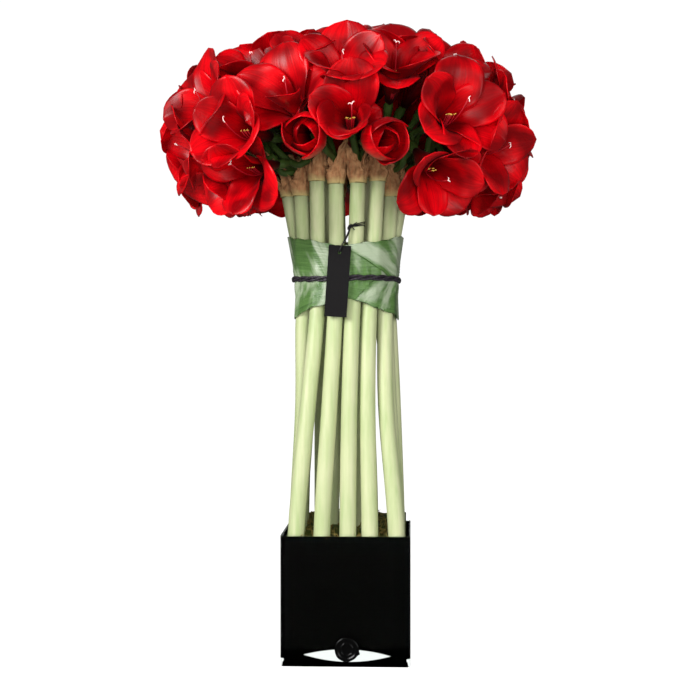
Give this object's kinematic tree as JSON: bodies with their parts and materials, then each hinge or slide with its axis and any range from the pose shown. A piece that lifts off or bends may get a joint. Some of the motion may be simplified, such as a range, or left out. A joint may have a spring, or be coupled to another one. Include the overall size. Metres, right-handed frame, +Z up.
{
  "type": "amaryllis bouquet in glass vase",
  "caption": "Tall hand-tied bunch of red amaryllis on bare green stems, bound with a leaf band, standing in a cube vase of clear glass with a black inside.",
  "frame": {"origin": "middle of the vase's flat underside", "axes": "+Z up along the stems; the front, with the card and the round seal, faces -Y"},
  "size_m": [0.5662, 0.5515, 0.9882],
  "materials": {
    "clear_glass": "clear, polished",
    "black_lining": "satin black sheet",
    "floral_foam": "soaked green foam",
    "moss": "dry, rough",
    "leaf": "waxy, ribbed lengthways",
    "black_cord": "twisted, matt",
    "black_card": "smooth card",
    "black_wax": "semi-gloss",
    "stem": "waxy, faint lengthways streaks",
    "spathe": "dry, papery",
    "petal": "satin"
  },
  "bodies": {
    "root": {"glass_vase": "clear_glass", "black_liner": "black_lining", "floral_foam": "floral_foam", "moss": "moss", "leaf_wrap": "leaf", "tie_cord": "black_cord", "gift_tag": "black_card", "tag_string": "black_cord", "wax_seal": "black_wax", "stem_01": "stem", "spathe_01": "spathe", "flower_head_01": "petal", "stem_02": "stem", "spathe_02": "spathe", "flower_head_02": "petal", "stem_03": "stem", "spathe_03": "spathe", "flower_head_03": "petal", "stem_04": "stem", "spathe_04": "spathe", "flower_head_04": "petal", "stem_05": "stem", "spathe_05": "spathe", "flower_head_05": "petal", "stem_06": "stem", "spathe_06": "spathe", "flower_head_06": "petal", "stem_07": "stem", "spathe_07": "spathe", "flower_head_07": "petal", "stem_08": "stem", "spathe_08": "spathe", "flower_head_08": "petal", "stem_09": "stem", "spathe_09": "spathe", "flower_head_09": "petal", "stem_10": "stem", "spathe_10": "spathe", "flower_head_10": "petal", "stem_11": "stem", "spathe_11": "spathe", "flower_head_11": "petal", "stem_12": "stem", "spathe_12": "spathe", "flower_head_12": "petal", "stem_13": "stem", "spathe_13": "spathe", "flower_head_13": "petal", "stem_14": "stem", "spathe_14": "spathe", "flower_head_14": "petal", "stem_15": "stem", "spathe_15": "spathe", "flower_head_15": "petal", "stem_16": "stem", "spathe_16": "spathe", "flower_head_16": "petal"}
  },
  "joints": []
}
